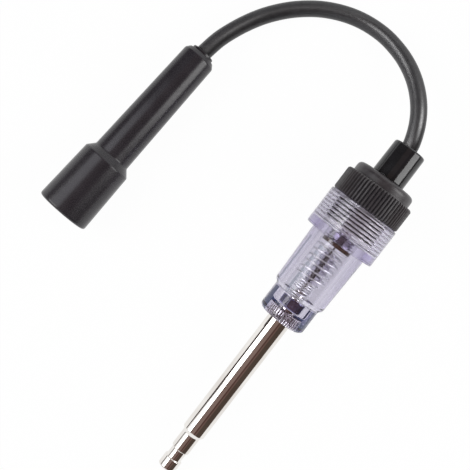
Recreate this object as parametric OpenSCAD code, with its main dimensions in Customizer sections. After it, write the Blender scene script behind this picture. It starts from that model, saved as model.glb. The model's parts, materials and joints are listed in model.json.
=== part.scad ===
// Inline ignition spark tester: a clear lamp housing on a terminal rod, a screw cap,
// a short lead and a plug boot.
// Millimetres, +Z up, standing on the floor z = 0. +X runs along the tester from its tip to its cap.

/* [Terminal rod] */
// Diameter of the push-on head at the tip
head_d = 6.35; // [5:0.05:8]
// Length of the head
head_l = 4.1; // [3:0.1:6]
// Diameter of the snap groove behind the head
groove_d = 5.3; // [4:0.1:6]
// Length of the snap groove
groove_l = 3.7; // [2:0.1:6]
// Diameter of the neck between groove and rod
neck_d = 6.4; // [5.5:0.1:7.6]
// Length of the neck
neck_l = 6.4; // [3:0.1:12]
// Diameter of the bright rod
rod_d = 8; // [7.8:0.1:9]
// Length of rod that shows below the housing
rod_l = 47.8; // [30:0.1:70]
// Diameter over the ribs of the rod's seat inside the housing
seat_d = 7.7; // [6.6:0.1:10]
// Length of the ribbed seat
seat_l = 3.7; // [3:0.1:6]
// Number of ribs on the seat
seat_ribs = 32; // [16:1:64]
// Depth of the grooves between the seat ribs
seat_rib_depth = 0.35; // [0.2:0.05:0.6]
// Diameter of the stud that passes the web
stud_d = 4; // [3:0.1:4.6]

/* [Clear housing] */
// Wall of the socket round the nut's pocket
socket_wall = 3.85; // [1.8:0.05:4.5]
// Length of the socket
socket_l = 9.25; // [8:0.05:14]
// Chamfer on the lower edge of the socket
socket_chamfer = 1; // [0.3:0.1:1.8]
// Web between the rod seat and the nut
web_t = 0.8; // [0.8:0.1:2]
// Length of the slope from the socket to the barrel
barrel_slope_l = 1.1; // [0.4:0.1:3]
// Wall of the barrel at its lower end
barrel_low_wall = 3.45; // [2.6:0.05:5]
// Wall of the barrel at the collar
barrel_top_wall = 4; // [2.6:0.05:6]
// Wall of the collar outside the thread
collar_wall = 2.525; // [2:0.025:5.5]
// Length of the smooth lower rim of the collar
rim_l = 2.9; // [2:0.1:5]
// Crest diameter of the collar's inside thread
thread_crest_d = 18.6; // [15:0.1:20]
// Pitch of the thread
thread_pitch = 1.25; // [0.8:0.05:1.5]
// Number of thread ridges in the collar
thread_turns = 8; // [6:1:12]
// Smooth lead-in above the thread
thread_lead_in = 0.5; // [0.3:0.1:1.5]

/* [Nut and spring] */
// Width of the nut across its flats
nut_af = 7; // [6.4:0.1:8]
// Height of the nut
nut_h = 3.8; // [3:0.1:5]
// Chamfer on the corners of the nut
nut_chamfer = 0.45; // [0.2:0.05:0.8]
// Angle of the nut's upper corner from straight up, towards the boot
nut_turn = 16; // [-30:1:30]
// Diameter of the spring wire
wire_d = 0.6; // [0.4:0.05:0.8]
// Number of curls in the narrow lower part
narrow_curls = 5; // [3:1:7]
// Height of one narrow curl
narrow_pitch = 1.15; // [1.1:0.05:1.4]
// Number of curls in the wide upper part
wide_curls = 6; // [4:1:8]

/* [Lamp] */
// Outside diameter of the glass
lamp_d = 6.2; // [5:0.1:7]
// Length of the glass
lamp_l = 11.65; // [8:0.05:16]
// Wall of the glass
glass_t = 0.6; // [0.4:0.05:0.9]
// Radius of the round shoulders at the ends of the glass
lamp_round = 1.86; // [1:0.02:2.4]
// Diameter of an electrode
electrode_d = 1.6; // [1:0.1:2.4]
// Length of an electrode inside the glass
electrode_l = 4.4; // [1.5:0.1:5]
// Gap between an electrode's foot and the end of the glass
electrode_gap = 0.3; // [0.1:0.05:0.6]
// Diameter of the lamp's end wires
lamp_wire_d = 0.6; // [0.4:0.05:0.9]
// Length of the lower wire between the glass and the stud
lamp_tail_l = 3.45; // [1:0.05:5]
// Room between the glass and the washer above it
lamp_head_room = 2.4; // [1:0.1:3]

/* [Washer and contact stem] */
// Thickness of the fibre washer on the spring
washer_t = 1.5; // [1:0.1:2]
// Diameter of the contact stem
stem_d = 4; // [3.4:0.1:5]
// Number of ribs on the stem's head
stem_ribs = 3; // [1:1:4]
// Pitch of the ribs on the stem's head
stem_rib_pitch = 0.95; // [0.6:0.05:1.2]
// Depth of the grooves between those ribs
stem_rib_depth = 0.5; // [0.2:0.05:0.8]
// Depth of the conductor's socket in the stem
stem_socket_l = 4; // [2:0.1:5]

/* [Cap] */
// Step from the collar in to the ribs of the grip
grip_step = 0.3; // [0:0.05:1]
// Length of the ribbed grip
grip_l = 8.2; // [5:0.1:12]
// Number of grip ribs
grip_ribs = 64; // [40:1:90]
// Depth of the grooves between the grip ribs
grip_rib_depth = 0.45; // [0.2:0.05:0.8]
// Chamfer on the ends of the grip ribs
grip_chamfer = 0.5; // [0.2:0.05:1]
// Diameter of the smooth shoulder
shoulder_d = 21; // [16:0.1:23]
// Height of the shoulder
shoulder_l = 3.65; // [3:0.05:7]
// Radius of the shoulder's upper edge
shoulder_round = 2.4; // [1:0.1:2.8]
// Room below the threaded spigot, down to the floor of the collar
spigot_room = 2.4; // [0.8:0.05:5]
// Length of the stem's seat in the spigot
stem_seat_l = 5.5; // [3:0.1:6.5]

/* [Strain relief] */
// Wall of the sleeve where it leaves the cap
relief_wall = 2.95; // [2.4:0.05:4]
// Wall of the sleeve at its mouth, over the lead's bore
relief_tip_wall = 2.8; // [2.4:0.05:4]
// Length of sleeve outside the cap
relief_l = 11.85; // [9:0.05:20]
// Radius of the sleeve's outer mouth edge
relief_round = 1; // [0.3:0.1:1.5]
// Wall of the sleeve's tail inside the cap
relief_tail_wall = 1.9; // [1:0.1:2.2]
// Length of the sleeve's tail inside the cap
relief_tail_l = 5; // [3:0.1:7]
// Flare of the bell mouth on each side
mouth_flare = 1.2; // [0.9:0.05:1.4]
// Depth of the bell mouth
mouth_l = 6; // [4:0.1:8]

/* [Lead] */
// Outside diameter of the lead
lead_d = 5.4; // [4.6:0.1:6.2]
// Diameter of its conductor
core_d = 2.4; // [1.6:0.1:3]

/* [Plug boot] */
// Diameter of the bore that takes a plug's insulator
plug_bore_d = 10.8; // [10:0.1:12]
// Depth of that bore
plug_bore_l = 22; // [16:0.1:24]
// Wall of the skirt at its mouth
skirt_wall = 3.7; // [2.5:0.05:5]
// Wall of the skirt at its upper end
skirt_top_wall = 3.1; // [2.5:0.05:5]
// Length of the skirt
skirt_l = 21.6; // [15:0.1:30]
// Radius of the skirt's mouth edge
skirt_round = 0.6; // [0.2:0.1:1.2]
// Length of the slope from skirt to neck
slope_l = 2.4; // [1.5:0.1:5]
// Wall of the neck round the clip
neck_wall = 2.35; // [1.6:0.05:3.5]
// Wall of the neck round the lead
neck_end_wall = 2.925; // [2:0.025:4]
// Length of the neck
neck_run = 42.4; // [30:0.1:60]
// Length of the chamfer on the neck's end
neck_chamfer_l = 1.4; // [1:0.1:3]
// Wall at the end of that chamfer
neck_tip_wall = 1.1; // [0.5:0.05:1.6]

/* [Clip in the boot] */
// Wall of the snap clip
clip_wall = 0.8; // [0.6:0.05:1.1]
// Length of the clip's open cup
clip_l = 12; // [9:0.1:14]
// Thickness of the clip's end web
clip_web_t = 1; // [0.6:0.1:2]
// Wall of the crimp barrel
crimp_wall = 0.95; // [0.6:0.05:1.2]
// Length of the crimp barrel
crimp_l = 10; // [6:0.1:14]
// Diameter of the snap ring's wire
snap_wire_d = 0.5; // [0.4:0.05:0.6]
// Angle that the snap ring covers
snap_angle = 300; // [240:5:330]
// Place of the snap ring from the clip's mouth
snap_at = 6; // [4:0.1:8]

/* [Boot bush] */
// Lip of the bush's flange beyond its wall
bush_lip = 0.3; // [0.2:0.05:0.7]
// Thickness of the bush's flange
bush_flange_t = 1; // [0.5:0.05:1.5]
// Wall of the bush inside the boot
bush_wall = 0.8; // [0.6:0.05:1.2]
// Length of the bush inside the boot
bush_l = 6.5; // [4:0.1:10]

/* [Fits] */
// Radial clearance of the turning thread
run_fit = 0.05; // [0.02:0.01:0.1]
// Radial clearance of parts that are pushed together
push_fit = 0.04; // [0.02:0.01:0.08]
// Gap between faces that seat on each other
seat_gap = 0.05; // [0.02:0.01:0.1]
// Radial room round the nut's corners in their pocket
nut_room = 0.35; // [0.3:0.05:1.2]
// Radial play of the spring in its bore
spring_play = 0.5; // [0.3:0.05:0.9]
// Radial play of the washer in the same bore
washer_play = 0.7; // [0.2:0.05:0.8]
// Radial play of the stem's head in the same bore
stem_head_play = 1.3; // [0.8:0.05:2]
// Radial play of the lamp's wire in the washer
wire_play = 0.5; // [0.3:0.05:0.8]
// Radial play of the lamp in the spring
lamp_play = 1.7; // [0.5:0.05:2.2]
// Radial play of the narrow curls round the stud
stud_play = 0.6; // [0.3:0.05:0.8]
// Radial play of the lead in its sleeves
lead_play = 0.1; // [0.05:0.01:0.2]
// Clearance of a plug terminal in the clip
clip_play = 0.08; // [0.05:0.01:0.15]

/* [Edges] */
// Chamfer on the nose of the tip
nose_chamfer = 0.4; // [0.2:0.05:0.8]
// Small chamfer on turned and moulded edges
edge_chamfer = 0.2; // [0.1:0.05:0.4]

/* [Placing] */
// Place of the tester's axis across the floor
tester_y = -36.8; // [-60:0.1:-20]
// Place along the floor where the lead leaves its clamped run
exit_x = 58.7; // [40:0.1:80]
// Place along the floor of the boot's lead end
boot_end_x = 50.9; // [30:0.1:70]
// Place across the floor of the boot's lead end
boot_end_y = 34.85; // [20:0.05:60]
// Angle of the boot to the tester, seen from above
boot_yaw = -4.5; // [-20:0.5:20]

/* [Hidden] */
$fn = 96;
// Straight steps in a rounded edge
round_steps = 8;
// How far a cut runs past the face that it opens
cut_over = 1;

// Bores and diameters that follow from what goes inside
wide_d = lamp_d + 2 * lamp_play + 2 * wire_d;
spring_bore_d = wide_d + 2 * spring_play;
narrow_d = stud_d + 2 * stud_play + 2 * wire_d;
nut_corner_d = nut_af / cos(30);
pocket_d = nut_corner_d + 2 * nut_room;
socket_d = pocket_d + 2 * socket_wall;
barrel_low_d = spring_bore_d + 2 * barrel_low_wall;
barrel_top_d = spring_bore_d + 2 * barrel_top_wall;
thread_depth = 0.54 * thread_pitch;
collar_d = thread_crest_d + 2 * thread_depth + 2 * collar_wall;
grip_d = collar_d - 2 * grip_step;
washer_d = spring_bore_d - 2 * washer_play;
washer_hole_d = lamp_wire_d + 2 * wire_play;
stem_head_d = spring_bore_d - 2 * stem_head_play;
lead_bore_d = lead_d + 2 * lead_play;
core_bore_d = core_d + 2 * push_fit;
crimp_d = core_bore_d + 2 * crimp_wall;
relief_d = lead_bore_d + 2 * relief_wall;
relief_tip_d = lead_bore_d + 2 * relief_tip_wall;
relief_tail_d = lead_bore_d + 2 * relief_tail_wall;
mouth_d = lead_bore_d + 2 * mouth_flare;
clip_d = head_d + 2 * clip_play + 2 * clip_wall;
clip_bore_d = clip_d + 2 * push_fit;
skirt_d = plug_bore_d + 2 * skirt_wall;
skirt_top_d = plug_bore_d + 2 * skirt_top_wall;
neck_low_d = clip_bore_d + 2 * neck_wall;
neck_top_d = lead_bore_d + 2 * neck_end_wall;
bush_d = lead_bore_d + 2 * bush_wall;
bush_flange_d = bush_d + 2 * bush_lip;
neck_tip_d = bush_d + 2 * neck_tip_wall;

// Stations along the tester, measured from its tip
groove_at = head_l;
neck_at = groove_at + groove_l;
rod_at = neck_at + neck_l;
socket_at = rod_at + rod_l;
web_at = socket_at + seat_l;
nut_at = web_at + web_t;
nut_top = nut_at + nut_h;
barrel_at = socket_at + socket_l;
spring_at = nut_top + seat_gap;
narrow_top = spring_at + wire_d + narrow_curls * narrow_pitch;
lamp_at = narrow_top + wire_d;
lamp_top = lamp_at + lamp_l;
stud_top = lamp_at - lamp_tail_l;
washer_at = lamp_top + lamp_head_room;
washer_top = washer_at + washer_t;
spring_top = washer_at - seat_gap;
collar_at = washer_top + seat_gap;
thread_at = collar_at + rim_l;
collar_top = thread_at + thread_turns * thread_pitch + thread_lead_in;
grip_at = collar_top + seat_gap;
shoulder_at = grip_at + grip_l;
relief_at = shoulder_at + shoulder_l;
mouth_at = relief_at + relief_l;
exit_at = mouth_at - mouth_l;
spigot_at = thread_at + spigot_room;
stem_top = spigot_at + stem_seat_l;
stem_at = washer_top + seat_gap;

// Stations along the boot, measured from its mouth
neck_at_b = skirt_l + slope_l;
neck_end_b = neck_at_b + neck_run;
tip_b = neck_end_b + neck_chamfer_l;
boot_l = tip_b + bush_flange_t;
clip_at_b = plug_bore_l + seat_gap;
clip_web_b = clip_at_b + clip_l;
clip_end_b = clip_web_b + clip_web_t;
crimp_end_b = clip_end_b + crimp_l;
bush_at_b = tip_b - bush_l;

// The tester leans on the rim of its head and the lower rim of its collar
tilt = atan((collar_d - head_d) / 2 / (collar_at + edge_chamfer - nose_chamfer));
tester_axis = [cos(tilt), 0, sin(tilt)];
tip_z = head_d / 2 * cos(tilt) - nose_chamfer * sin(tilt);
tester_tip = [exit_x - exit_at * cos(tilt), tester_y, tip_z];

// The boot lies on the slope of its skirt
boot_pitch = atan((skirt_d - skirt_top_d) / 2 / skirt_l);
boot_axis = [cos(boot_pitch) * cos(boot_yaw), cos(boot_pitch) * sin(boot_yaw), -sin(boot_pitch)];
boot_mouth_z = skirt_d / 2 * cos(boot_pitch);
boot_mouth = [
    boot_end_x - boot_l * boot_axis[0],
    boot_end_y - boot_l * boot_axis[1],
    boot_mouth_z
];

// Free run of the lead: down from the cap, round on the floor, up into the boot.
// Each point is a place on the floor and the height of the lead's underside there.
lead_sides = 10;
lead_lay = [
    [64.6, -36.3, 13.4], [67.7, -35.6, 13.4], [71.8, -34.1, 12.8], [75.9, -32.0, 11.6],
    [79.8, -29.3, 9.9], [83.4, -26.0, 7.9], [86.4, -22.3, 5.9], [88.8, -18.2, 4.1],
    [90.5, -13.9, 2.5], [91.6, -9.4, 1.3], [91.9, -4.7, 0.5], [91.5, 0, 0.1],
    [90.4, 4.5, 0.05], [88.7, 8.9, 0.05], [86.5, 13.1, 0.05], [83.8, 17.0, 0.05],
    [80.6, 20.7, 0.1], [77.0, 24.0, 0.3], [72.8, 27.1, 0.7], [68.1, 29.7, 1.5],
    [63.0, 31.9, 2.5], [57.4, 33.7, 3.6]
];
lead_route = concat(
    [tester_point(exit_at)],
    [for (p = lead_lay) p + [0, 0, lead_d / 2]],
    [boot_point(boot_l)]
);

// Points on the two axes
function tester_point(at) = tester_tip + at * tester_axis;
function boot_point(at) = boot_mouth + at * boot_axis;

// Vectors and outlines
function unit(v) = v / norm(v);
function arc(centre, r, from, to, steps) = [
    for (i = [0:steps])
        let (angle = from + (to - from) * i / steps)
        centre + r * [cos(angle), sin(angle)]
];

// Star outline of a straight knurl: flat crests and flat roots
function knurl(r, depth, count) = [
    for (i = [0:count - 1])
        for (step = [[0.1, r - depth], [0.35, r], [0.65, r], [0.9, r - depth]])
            step[1] * [cos(360 * (i + step[0]) / count), sin(360 * (i + step[0]) / count)]
];

// Ridges of a thread from one height upwards, as radius and height
function ridges(root_r, tip_r, from, count) = [
    for (i = [0:count - 1])
        for (half = [0, 1])
            [half == 0 ? root_r : tip_r, from + (i + half / 2) * thread_pitch]
];

// Swept round wire: a ring of points square to the route at each of its points
function ring(p, along, up, r, sides) =
    let (side = unit(cross(up, along)), rise = cross(along, side))
    [for (k = [0:sides - 1]) p + r * (cos(360 * k / sides) * side + sin(360 * k / sides) * rise)];
function chord(route, i) = unit(route[min(i + 1, len(route) - 1)] - route[max(i - 1, 0)]);

module wire(rings) {
    n = len(rings);
    sides = len(rings[0]);
    skin = [
        for (i = [0:n - 2])
            for (k = [0:sides - 1])
                for (half = [0, 1])
                    let (a = i * sides + k, b = i * sides + (k + 1) % sides)
                    half == 0 ? [a, b, a + sides] : [b, b + sides, a + sides]
    ];
    caps = [
        for (k = [1:sides - 2])
            for (end = [0, 1])
                end == 0 ? [0, k + 1, k] : [(n - 1) * sides, (n - 1) * sides + k, (n - 1) * sides + k + 1]
    ];
    polyhedron([for (r = rings) for (p = r) p], [for (f = concat(skin, caps)) [f[2], f[1], f[0]]]);
}

module on_tester() translate(tester_tip) rotate([0, 90 - tilt, 0]) children();
module on_boot() translate(boot_mouth) rotate([0, 90 + boot_pitch, boot_yaw]) children();
module turned(outline) rotate_extrude() polygon(outline);
module tube(d, bore, from, to) translate([0, 0, from]) difference() {
    cylinder(d = d, h = to - from);
    translate([0, 0, -cut_over]) cylinder(d = bore, h = to - from + 2 * cut_over);
}

// Bright turned rod: snap head, groove, neck, rod, ribbed seat and stud
module terminal_rod() color("gainsboro") on_tester() {
    turned([
        [0, 0],
        [head_d / 2 - nose_chamfer, 0],
        [head_d / 2, nose_chamfer],
        [head_d / 2, groove_at - edge_chamfer],
        [head_d / 2 - edge_chamfer, groove_at],
        [groove_d / 2, groove_at],
        [groove_d / 2, neck_at],
        [neck_d / 2 - edge_chamfer, neck_at],
        [neck_d / 2, neck_at + edge_chamfer],
        [neck_d / 2, rod_at],
        [rod_d / 2 - edge_chamfer, rod_at],
        [rod_d / 2, rod_at + edge_chamfer],
        [rod_d / 2, socket_at - seat_gap],
        [stud_d / 2, socket_at - seat_gap],
        [stud_d / 2, stud_top - edge_chamfer],
        [stud_d / 2 - edge_chamfer, stud_top],
        [0, stud_top]
    ]);
    translate([0, 0, socket_at - seat_gap])
        linear_extrude(seat_l) polygon(knurl(seat_d / 2, seat_rib_depth, seat_ribs));
}

// Clear moulding: socket, tapered barrel and threaded collar, open from end to end
module clear_housing() color([0.78, 0.74, 0.85, 0.45]) on_tester() turned(concat(
    [
        [seat_d / 2 + push_fit, socket_at],
        [socket_d / 2 - socket_chamfer, socket_at],
        [socket_d / 2, socket_at + socket_chamfer],
        [socket_d / 2, barrel_at],
        [barrel_low_d / 2, barrel_at + barrel_slope_l],
        [barrel_top_d / 2, collar_at],
        [collar_d / 2 - edge_chamfer, collar_at],
        [collar_d / 2, collar_at + edge_chamfer],
        [collar_d / 2, collar_top - edge_chamfer],
        [collar_d / 2 - edge_chamfer, collar_top],
        [thread_crest_d / 2, collar_top]
    ],
    [
        for (p = ridges(thread_crest_d / 2, thread_crest_d / 2 + thread_depth, 0, thread_turns))
            [p[0], collar_top - thread_lead_in - p[1]]
    ],
    [
        [thread_crest_d / 2, thread_at],
        [spring_bore_d / 2, thread_at],
        [spring_bore_d / 2, barrel_at],
        [pocket_d / 2, barrel_at],
        [pocket_d / 2, nut_at],
        [stud_d / 2 + push_fit, nut_at],
        [stud_d / 2 + push_fit, web_at],
        [seat_d / 2 + push_fit, web_at]
    ]
));

// Hexagon nut that holds the rod against the web
module rod_nut() color("silver") on_tester() translate([0, 0, nut_at + seat_gap / 2]) {
    h = nut_h - seat_gap / 2;
    corner_r = nut_corner_d / 2;
    difference() {
        intersection() {
            rotate([0, 0, -nut_turn]) cylinder(r = corner_r, h = h, $fn = 6);
            turned([
                [0, 0],
                [corner_r - nut_chamfer, 0],
                [corner_r, nut_chamfer],
                [corner_r, h - nut_chamfer],
                [corner_r - nut_chamfer, h],
                [0, h]
            ]);
        }
        translate([0, 0, -cut_over]) cylinder(d = stud_d + 2 * push_fit, h = h + 2 * cut_over);
    }
}

// Stepped spring of one round wire, with straight ends on the nut and under the washer
spring_curls = narrow_curls + wide_curls;
spring_low = spring_at + wire_d;
spring_high = spring_top - wire_d;
wide_pitch = (spring_high - spring_low - narrow_curls * narrow_pitch) / wide_curls;
rings_a_curl = 8;
spring_sides = 6;
function curl_r(turn) =
    let (step = min(max(turn - narrow_curls + 0.5, 0), 1))
    (narrow_d - wire_d) / 2 + (wide_d - narrow_d) / 2 * step * step * (3 - 2 * step);
function curl_z(turn) =
    spring_low + min(turn, narrow_curls) * narrow_pitch + max(turn - narrow_curls, 0) * wide_pitch;
function curl_point(turn) = [curl_r(turn) * cos(360 * turn), curl_r(turn) * sin(360 * turn), curl_z(turn)];
curl_points = [for (i = [0:spring_curls * rings_a_curl]) curl_point(i / rings_a_curl)];
spring_route = concat(
    [curl_points[0] - [0, 0, wire_d]],
    curl_points,
    [curl_points[len(curl_points) - 1] + [0, 0, wire_d]]
);
spring_last = len(spring_route) - 1;
function out_from_axis(p) = unit([p[0], p[1], 0]);
spring_rings = [
    for (i = [0:spring_last])
        let (end = i == 0 || i == spring_last)
        let (along = end ? [0, 0, 1] : chord(spring_route, i))
        let (across = unit(cross(out_from_axis(spring_route[i]), along)))
        ring(spring_route[i], along, across, wire_d / 2, spring_sides)
];
self_gaps = [
    for (i = [0:spring_last - rings_a_curl / 2])
        for (j = [i + rings_a_curl / 2:spring_last])
            norm(spring_route[i] - spring_route[j]) - wire_d
];
echo(least_spring_gap = min(self_gaps));

module lamp_spring() color("lightgray") on_tester() wire(spring_rings);

// Glass tube of the lamp, with a round shoulder at each end and a hole for each wire
module lamp_glass() color([0.9, 0.9, 0.92, 0.4]) on_tester() {
    r = lamp_d / 2;
    end_r = lamp_round;
    hole_r = lamp_wire_d / 2 + push_fit;
    turned(concat(
        [[hole_r, lamp_at]],
        arc([r - end_r, lamp_at + end_r], end_r, -90, 0, round_steps),
        arc([r - end_r, lamp_top - end_r], end_r, 0, 90, round_steps),
        [
            [hole_r, lamp_top],
            [hole_r, lamp_top - glass_t],
            [r - end_r, lamp_top - glass_t],
            [r - glass_t, lamp_top - end_r],
            [r - glass_t, lamp_at + end_r],
            [r - end_r, lamp_at + glass_t],
            [hole_r, lamp_at + glass_t]
        ]
    ));
}

// Electrode on its end wire, from the wire's outer end to the electrode's inner end
module electrode(wire_from, foot, reach) turned([
    [0, wire_from],
    [lamp_wire_d / 2, wire_from],
    [lamp_wire_d / 2, foot],
    [electrode_d / 2, foot],
    [electrode_d / 2, foot + reach],
    [0, foot + reach]
]);
module upper_electrode() color("dimgray") on_tester()
    electrode(washer_top, lamp_top - glass_t - electrode_gap, -electrode_l);
module lower_electrode() color("dimgray") on_tester()
    electrode(stud_top + seat_gap, lamp_at + glass_t + electrode_gap, electrode_l);

// Dark fibre washer that the spring presses up, with the lamp's wire in its hole
module fibre_washer() color("saddlebrown") on_tester()
    tube(washer_d, washer_hole_d, washer_at, washer_top);

// Brass stem that takes the lead's conductor, with a ribbed head that touches the lamp's wire
module contact_stem() color("goldenrod") on_tester() {
    tip_r = stem_head_d / 2;
    root_r = tip_r - stem_rib_depth;
    head_top = stem_at + stem_ribs * stem_rib_pitch;
    turned(concat(
        [[0, stem_at]],
        [
            for (i = [0:stem_ribs - 1])
                for (step = [[0, root_r], [0.15, tip_r], [0.55, tip_r], [0.7, root_r]])
                    [step[1], stem_at + (i + step[0]) * stem_rib_pitch]
        ],
        [
            [root_r, head_top],
            [stem_d / 2, head_top],
            [stem_d / 2, stem_top],
            [core_bore_d / 2, stem_top],
            [core_bore_d / 2, stem_top - stem_socket_l],
            [0, stem_top - stem_socket_l]
        ]
    ));
}

// Black cap: threaded spigot, ribbed grip and smooth round shoulder
module knurled_cap() color([0.22, 0.21, 0.2]) on_tester() {
    crest_r = thread_crest_d / 2 - run_fit;
    root_r = crest_r - thread_depth;
    spigot_turns = floor((grip_at - spigot_at - 2 * thread_lead_in) / thread_pitch);
    difference() {
        union() {
            turned(concat(
                [[0, spigot_at], [root_r, spigot_at]],
                ridges(root_r, crest_r, spigot_at + thread_lead_in, spigot_turns),
                [
                    [root_r, spigot_at + thread_lead_in + spigot_turns * thread_pitch],
                    [root_r, grip_at],
                    [shoulder_d / 2, grip_at],
                    [shoulder_d / 2, relief_at - shoulder_round]
                ],
                arc([shoulder_d / 2 - shoulder_round, relief_at - shoulder_round],
                    shoulder_round, 0, 90, round_steps),
                [[0, relief_at]]
            ));
            intersection() {
                translate([0, 0, grip_at])
                    linear_extrude(grip_l) polygon(knurl(grip_d / 2, grip_rib_depth, grip_ribs));
                turned([
                    [0, grip_at],
                    [grip_d / 2 - grip_chamfer, grip_at],
                    [grip_d / 2, grip_at + grip_chamfer],
                    [grip_d / 2, shoulder_at - grip_chamfer],
                    [grip_d / 2 - grip_chamfer, shoulder_at],
                    [0, shoulder_at]
                ]);
            }
        }
        translate([0, 0, spigot_at - cut_over])
            cylinder(d = stem_d + 2 * push_fit, h = stem_top + seat_gap - spigot_at + 2 * cut_over);
        translate([0, 0, stem_top + seat_gap])
            cylinder(d = lead_bore_d, h = relief_at - stem_top + cut_over);
        translate([0, 0, relief_at - relief_tail_l])
            cylinder(d = relief_tail_d + 2 * push_fit, h = relief_tail_l + cut_over);
    }
}

// Glossy sleeve with a bell mouth, its tail pushed into the cap
module strain_relief() color([0.08, 0.08, 0.08]) on_tester() turned(concat(
    [
        [lead_bore_d / 2, relief_at - relief_tail_l + seat_gap],
        [relief_tail_d / 2, relief_at - relief_tail_l + seat_gap],
        [relief_tail_d / 2, relief_at + seat_gap],
        [relief_d / 2, relief_at + seat_gap]
    ],
    arc([relief_tip_d / 2 - relief_round, mouth_at - relief_round], relief_round, 0, 90, round_steps),
    [
        [mouth_d / 2, mouth_at],
        [lead_bore_d / 2, exit_at]
    ]
));

// Clamped end of the lead's insulation in the cap, and the conductor inside it
module cap_lead_end() color([0.25, 0.25, 0.26]) on_tester()
    tube(lead_d, core_bore_d, stem_top + 2 * seat_gap, exit_at);
module cap_core() color("peru") on_tester()
    translate([0, 0, stem_top - stem_socket_l + seat_gap])
        cylinder(d = core_d, h = exit_at - stem_top + stem_socket_l - seat_gap);

// Free run of the lead
lead_last = len(lead_route) - 1;
lead_rings = [
    for (i = [0:lead_last])
        let (inner = chord(lead_route, i))
        let (along = i == 0 ? tester_axis : i == lead_last ? -boot_axis : inner)
        ring(lead_route[i] + (i == 0 ? seat_gap : i == lead_last ? -seat_gap : 0) * along,
            along, [0, 0, 1], lead_d / 2, lead_sides)
];
module lead() color([0.25, 0.25, 0.26]) wire(lead_rings);
lead_steps = [for (i = [1:lead_last]) norm(lead_route[i] - lead_route[i - 1])];
function total(list, from = 0) = from < len(list) ? list[from] + total(list, from + 1) : 0;
echo(free_lead_length = total(lead_steps));

// Clamped end of the lead's insulation in the boot, and the conductor inside it
module boot_lead_end() color([0.25, 0.25, 0.26]) on_boot()
    tube(lead_d, core_bore_d, crimp_end_b + seat_gap, boot_l);
module boot_core() color("peru") on_boot()
    translate([0, 0, clip_end_b + seat_gap]) cylinder(d = core_d, h = boot_l - clip_end_b - seat_gap);

// Black moulded boot: skirt, slope and long neck, bored for the plug, the clip, the lead and the bush
module boot_shell() color([0.14, 0.14, 0.14]) on_boot() turned(concat(
    [[plug_bore_d / 2, 0]],
    arc([skirt_d / 2 - skirt_round, skirt_round], skirt_round, -90, 0, round_steps),
    [
        [skirt_top_d / 2, skirt_l],
        [neck_low_d / 2, neck_at_b],
        [neck_top_d / 2, neck_end_b],
        [neck_tip_d / 2, tip_b],
        [bush_d / 2 + push_fit, tip_b],
        [bush_d / 2 + push_fit, bush_at_b - seat_gap],
        [lead_bore_d / 2, bush_at_b - seat_gap],
        [lead_bore_d / 2, clip_end_b + seat_gap],
        [clip_bore_d / 2, clip_end_b + seat_gap],
        [clip_bore_d / 2, plug_bore_l],
        [plug_bore_d / 2, plug_bore_l]
    ]
));

// Rubber bush in the boot's end, with a small flange
module boot_bush() color([0.1, 0.1, 0.1]) on_boot() turned([
    [lead_bore_d / 2, bush_at_b],
    [bush_d / 2, bush_at_b],
    [bush_d / 2, tip_b + seat_gap],
    [bush_flange_d / 2, tip_b + seat_gap],
    [bush_flange_d / 2, boot_l - edge_chamfer],
    [bush_flange_d / 2 - edge_chamfer, boot_l],
    [lead_bore_d / 2, boot_l]
]);

// Snap clip: an open cup with a groove for the snap ring, and a crimp barrel on its back
snap_root_r = clip_d / 2 - snap_wire_d - push_fit;
module boot_clip() color("silver") on_boot() turned([
    [head_d / 2 + clip_play, clip_at_b],
    [clip_d / 2, clip_at_b],
    [clip_d / 2, clip_at_b + snap_at - snap_wire_d / 2 - push_fit],
    [snap_root_r, clip_at_b + snap_at - snap_wire_d / 2 - push_fit],
    [snap_root_r, clip_at_b + snap_at + snap_wire_d / 2 + push_fit],
    [clip_d / 2, clip_at_b + snap_at + snap_wire_d / 2 + push_fit],
    [clip_d / 2, clip_end_b],
    [crimp_d / 2, clip_end_b],
    [crimp_d / 2, crimp_end_b],
    [core_bore_d / 2, crimp_end_b],
    [core_bore_d / 2, clip_end_b],
    [0, clip_end_b],
    [0, clip_web_b],
    [head_d / 2 + clip_play, clip_web_b]
]);

// Open ring of spring wire in the clip's groove
module snap_ring() color("gray") on_boot() translate([0, 0, clip_at_b + snap_at])
    rotate_extrude(angle = snap_angle)
        translate([snap_root_r + push_fit / 2 + snap_wire_d / 2, 0]) circle(d = snap_wire_d, $fn = 24);

terminal_rod();
clear_housing();
rod_nut();
lamp_spring();
lamp_glass();
upper_electrode();
lower_electrode();
fibre_washer();
contact_stem();
knurled_cap();
strain_relief();
cap_lead_end();
cap_core();
lead();
boot_lead_end();
boot_core();
boot_shell();
boot_bush();
boot_clip();
snap_ring();
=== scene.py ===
"""Looks of the inline ignition spark tester, built around its fixed frame.

Every object is in metres, in the frame's own axes. Stations run along the tester from the tip of its rod,
and along the boot from its mouth.
"""
import json
import math

import bpy
from bpy.props import FloatProperty, FloatVectorProperty, IntProperty, PointerProperty
from mathutils import Matrix, Vector


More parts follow.
